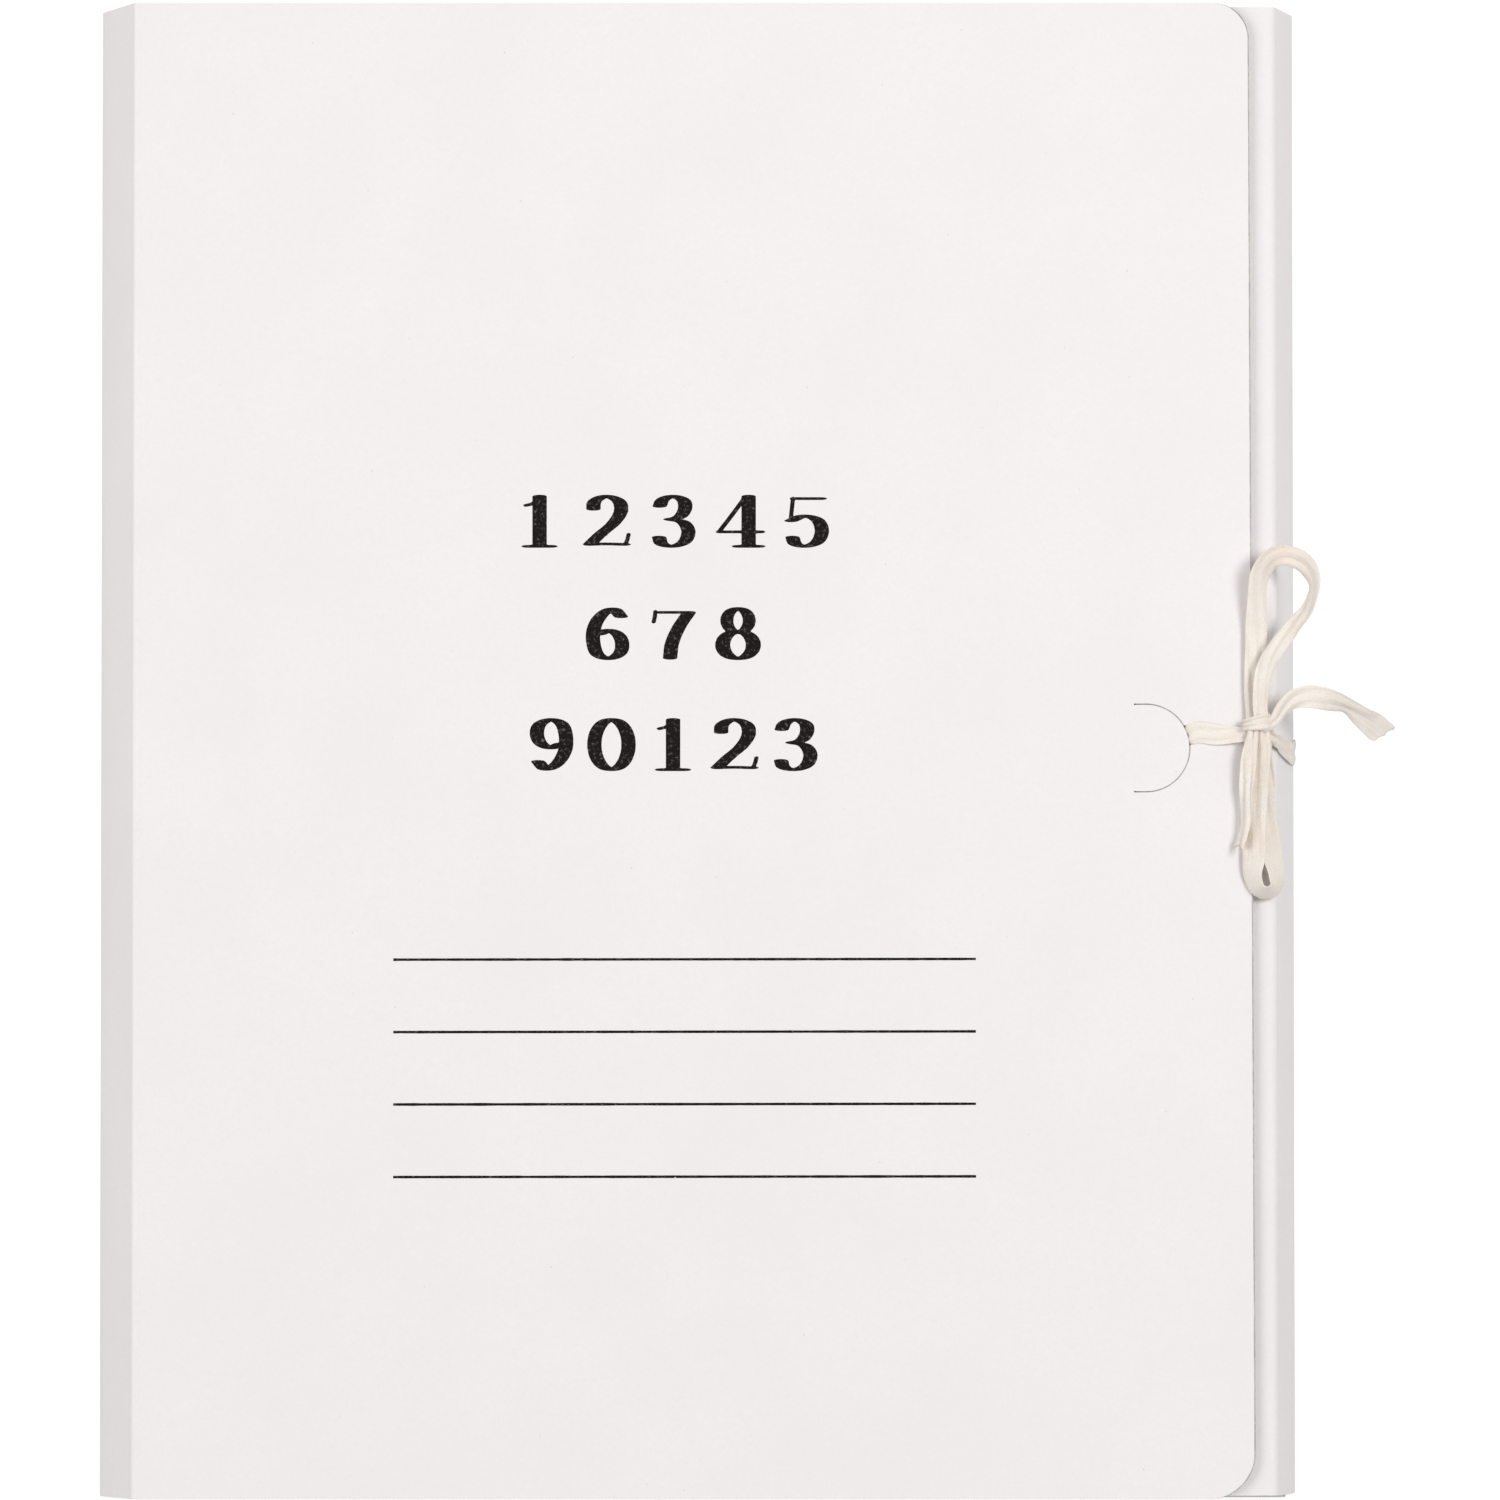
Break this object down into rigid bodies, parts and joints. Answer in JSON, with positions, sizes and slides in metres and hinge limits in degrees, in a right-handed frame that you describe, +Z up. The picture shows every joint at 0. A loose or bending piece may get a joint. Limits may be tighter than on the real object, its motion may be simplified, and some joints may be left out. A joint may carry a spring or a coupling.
{
  "type": "tie file folder",
  "caption": "White board file folder: a hinged front cover over a box with three folding flaps, tied shut at the fore-edge by cotton tapes in a bow.",
  "frame": {"origin": "middle of the closed folder's footprint, on the surface that it lies on", "axes": "+X to the fore-edge where the bow is, +Y to the head of the folder, +Z up through the front cover"},
  "size_m": [0.2688, 0.3104, 0.03],
  "materials": {
    "white_board": "matt",
    "patch_paper": "matt",
    "cotton_tape": "matt"
  },
  "bodies": {
    "back": {"back_cover": "white_board", "back_anchor_patch": "patch_paper", "back_tie_anchor": "cotton_tape", "back_tie_under_run": "cotton_tape"},
    "spine": {"spine_panel": "white_board"},
    "cover": {"front_cover": "white_board", "front_anchor_patch": "patch_paper", "front_tie_anchor": "cotton_tape", "front_tie_run": "cotton_tape", "back_tie_lead": "cotton_tape", "bow_knot": "cotton_tape", "bow_upper_loop": "cotton_tape", "bow_lower_loop": "cotton_tape", "bow_right_tail": "cotton_tape", "bow_lower_tail": "cotton_tape"},
    "fore_wall": {"fore_edge_wall": "white_board", "back_tie_wrap": "cotton_tape"},
    "fore_flap": {"fore_edge_flap": "white_board"},
    "head_wall": {"head_wall": "white_board"},
    "head_flap": {"head_flap": "white_board"},
    "tail_wall": {"tail_wall": "white_board"},
    "tail_flap": {"tail_flap": "white_board"},
    "front_tab": {"front_slot_tab": "white_board"},
    "back_tab": {"back_slot_tab": "white_board"}
  },
  "joints": [
    {"name": "spine_hinge", "type": "hinge", "parent": "back", "child": "spine", "pos_m": [-0.1244, 0, 0.00025], "axis": [0, -1, 0], "range_deg": [0, 111.5]},
    {"name": "cover_hinge", "type": "hinge", "parent": "spine", "child": "cover", "pos_m": [-0.1166, 0, 0.02], "axis": [0, -1, 0], "range_deg": [0, 68.6]},
    {"name": "fore_wall_hinge", "type": "hinge", "parent": "back", "child": "fore_wall", "pos_m": [0.1244, 0, 0.00025], "axis": [0, 1, 0], "range_deg": [0, 105.1]},
    {"name": "fore_flap_hinge", "type": "hinge", "parent": "fore_wall", "child": "fore_flap", "pos_m": [0.1196, 0, 0.0182], "axis": [0, 1, 0], "range_deg": [0, 75.2]},
    {"name": "head_wall_hinge", "type": "hinge", "parent": "back", "child": "head_wall", "pos_m": [0, 0.155, 0.00025], "axis": [-1, 0, 0], "range_deg": [0, 100]},
    {"name": "head_flap_hinge", "type": "hinge", "parent": "head_wall", "child": "head_flap", "pos_m": [0, 0.152, 0.0174], "axis": [-1, 0, 0], "range_deg": [0, 80.2]},
    {"name": "tail_wall_hinge", "type": "hinge", "parent": "back", "child": "tail_wall", "pos_m": [0, -0.155, 0.00025], "axis": [1, 0, 0], "range_deg": [0, 100]},
    {"name": "tail_flap_hinge", "type": "hinge", "parent": "tail_wall", "child": "tail_flap", "pos_m": [0, -0.152, 0.0174], "axis": [1, 0, 0], "range_deg": [0, 80.2]},
    {"name": "front_tab_bend", "type": "hinge", "parent": "cover", "child": "front_tab", "pos_m": [0.0906, 0, 0.02], "axis": [0, -1, 0], "range_deg": [0, 35], "stiffness_Nm_per_rad": 0.001},
    {"name": "back_tab_bend", "type": "hinge", "parent": "back", "child": "back_tab", "pos_m": [0.091, 0, 0.00025], "axis": [0, 1, 0], "range_deg": [0, 35], "stiffness_Nm_per_rad": 0.001}
  ],
  "couplings": [
    {"joint": "cover_hinge", "follows": "spine_hinge", "ratio": 0.61361},
    {"joint": "fore_wall_hinge", "follows": "spine_hinge", "ratio": 0.941},
    {"joint": "fore_flap_hinge", "follows": "spine_hinge", "ratio": 0.67261},
    {"joint": "head_wall_hinge", "follows": "spine_hinge", "ratio": 0.89573},
    {"joint": "head_flap_hinge", "follows": "spine_hinge", "ratio": 0.71788},
    {"joint": "tail_wall_hinge", "follows": "spine_hinge", "ratio": 0.89573},
    {"joint": "tail_flap_hinge", "follows": "spine_hinge", "ratio": 0.71788}
  ]
}
